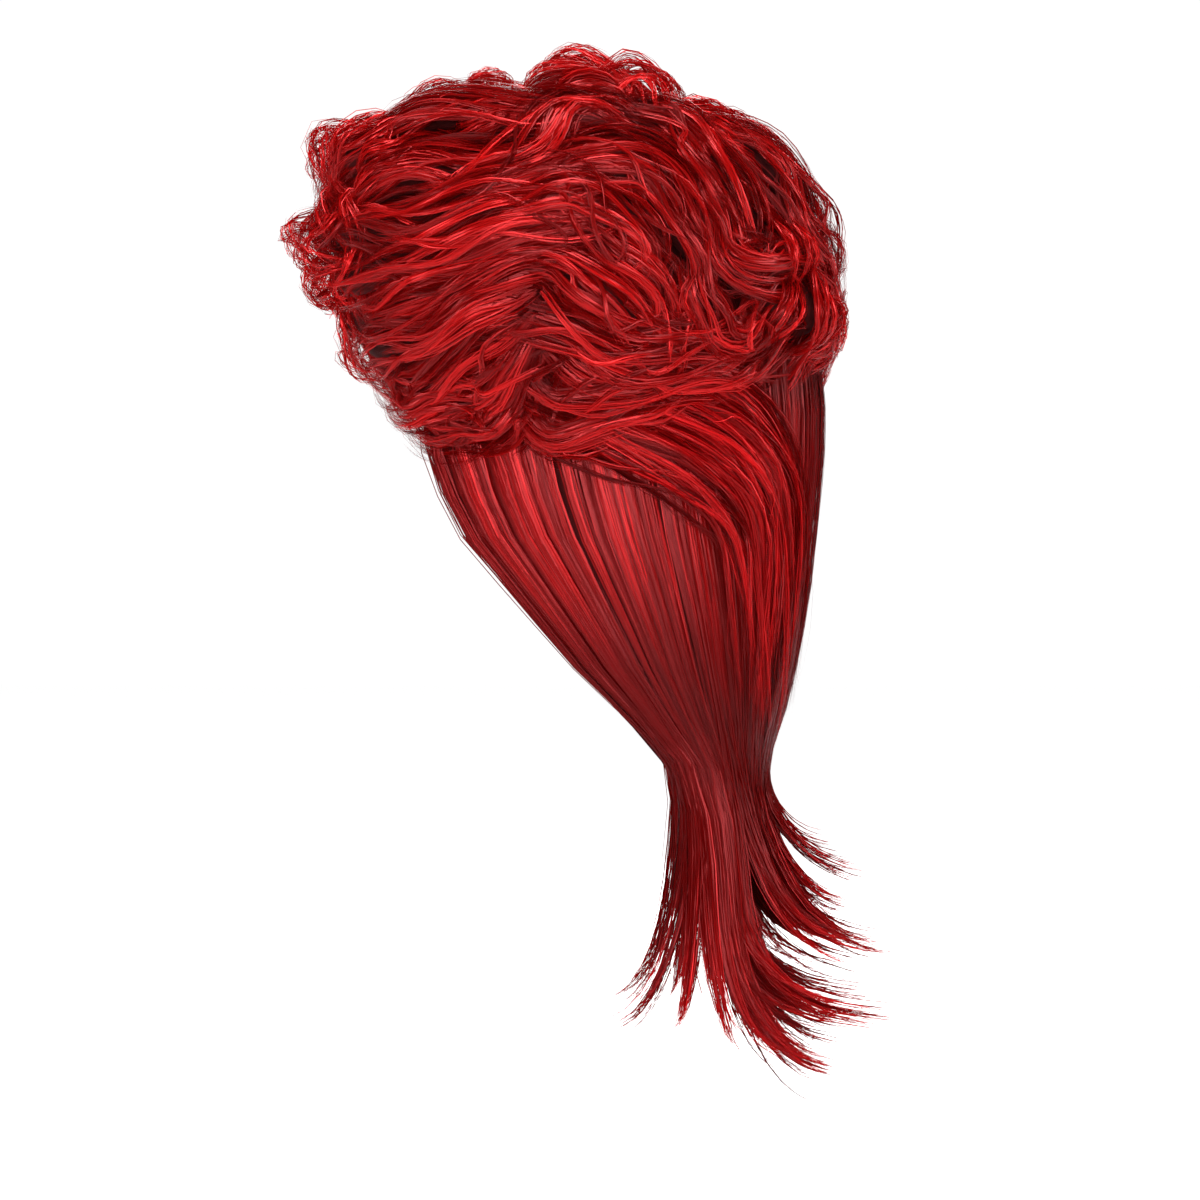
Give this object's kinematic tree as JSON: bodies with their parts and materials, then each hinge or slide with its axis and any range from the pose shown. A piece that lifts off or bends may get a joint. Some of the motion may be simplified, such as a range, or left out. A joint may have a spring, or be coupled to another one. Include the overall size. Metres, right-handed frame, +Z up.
{
  "type": "mullet wig",
  "caption": "Mullet wig of synthetic hair: a high dome of curls on top, smooth side panels swept back from the temples, a straight back fall and a flared tail of flicks.",
  "frame": {"origin": "The point inside the cap where the crown of the head touches it, on the wig's middle plane.", "axes": "+Z up along the worn wig's height, -Y to the wearer's front, +X to the wearer's left."},
  "size_m": [0.2374, 0.3272, 0.556],
  "materials": {
    "curly_hair": "glossy synthetic fibre",
    "straight_hair": "glossy synthetic fibre",
    "tail_hair": "glossy synthetic fibre",
    "cap_net": "elastic net"
  },
  "bodies": {
    "root": {"wig_cap": "cap_net", "back_fall": "straight_hair", "side_panel_left": "straight_hair", "side_panel_right": "straight_hair", "tail_upper": "tail_hair", "tail_lower": "tail_hair", "swept_layer_left": "straight_hair", "swept_layer_right": "straight_hair", "side_curls_left": "curly_hair", "side_curls_right": "curly_hair", "crown_curls": "curly_hair", "fringe_curls": "curly_hair", "back_curls": "curly_hair"}
  },
  "joints": []
}
